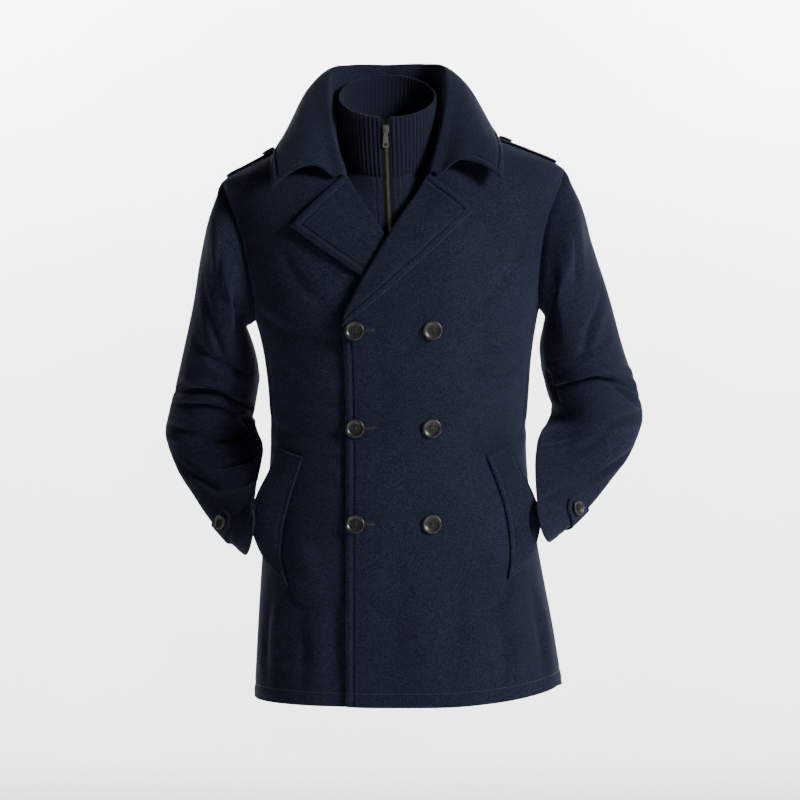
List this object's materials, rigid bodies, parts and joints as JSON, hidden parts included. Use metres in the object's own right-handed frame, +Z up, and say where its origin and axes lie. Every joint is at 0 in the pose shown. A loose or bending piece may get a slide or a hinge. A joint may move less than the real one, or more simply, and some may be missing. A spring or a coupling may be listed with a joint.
{
  "type": "overcoat",
  "caption": "Hollow double-breasted wool short overcoat in worn pose, with wide collar and lapels, zipped rib-knit neck insert, shoulder and cuff straps and slanted welt pockets.",
  "frame": {"origin": "centre of the neck at the height of its base, where the wearer's neck and shoulders hold the coat", "axes": "+Z up along the body, -Y out of the front, +X to the wearer's left"},
  "size_m": [0.6825, 0.2776, 0.8983],
  "materials": {
    "navy_melton": "thick felted navy wool melton",
    "navy_rib_knit": "navy rib knit",
    "dark_horn": "polished dark horn",
    "black_tape": "woven black zip tape",
    "gunmetal": "dark gunmetal"
  },
  "bodies": {
    "coat": {"back": "navy_melton", "bib_left": "navy_melton", "bib_right": "navy_melton", "button_cuff_left": "dark_horn", "button_cuff_right": "dark_horn", "button_epaulette_left": "dark_horn", "button_epaulette_right": "dark_horn", "button_left_1": "dark_horn", "button_left_2": "dark_horn", "button_left_3": "dark_horn", "button_right_1": "dark_horn", "button_right_2": "dark_horn", "button_right_3": "dark_horn", "collar": "navy_melton", "cuff_tab_left": "navy_melton", "cuff_tab_right": "navy_melton", "epaulette_left": "navy_melton", "epaulette_right": "navy_melton", "front_left": "navy_melton", "front_right": "navy_melton", "lapel_left": "navy_melton", "lapel_right": "navy_melton", "rib_collar": "navy_rib_knit", "sleeve_left": "navy_melton", "sleeve_right": "navy_melton", "welt_left": "navy_melton", "welt_right": "navy_melton", "zip_chain": "gunmetal", "zip_slider": "gunmetal", "zip_tape_left": "black_tape", "zip_tape_right": "black_tape"},
    "zip_pull": {"zip_pull": "gunmetal"}
  },
  "joints": [
    {"name": "zip_pull_hinge", "type": "hinge", "parent": "coat", "child": "zip_pull", "pos_m": [-0.00868, -0.09108, -0.01], "axis": [-1, 0, 0], "range_deg": [0, 170]}
  ]
}
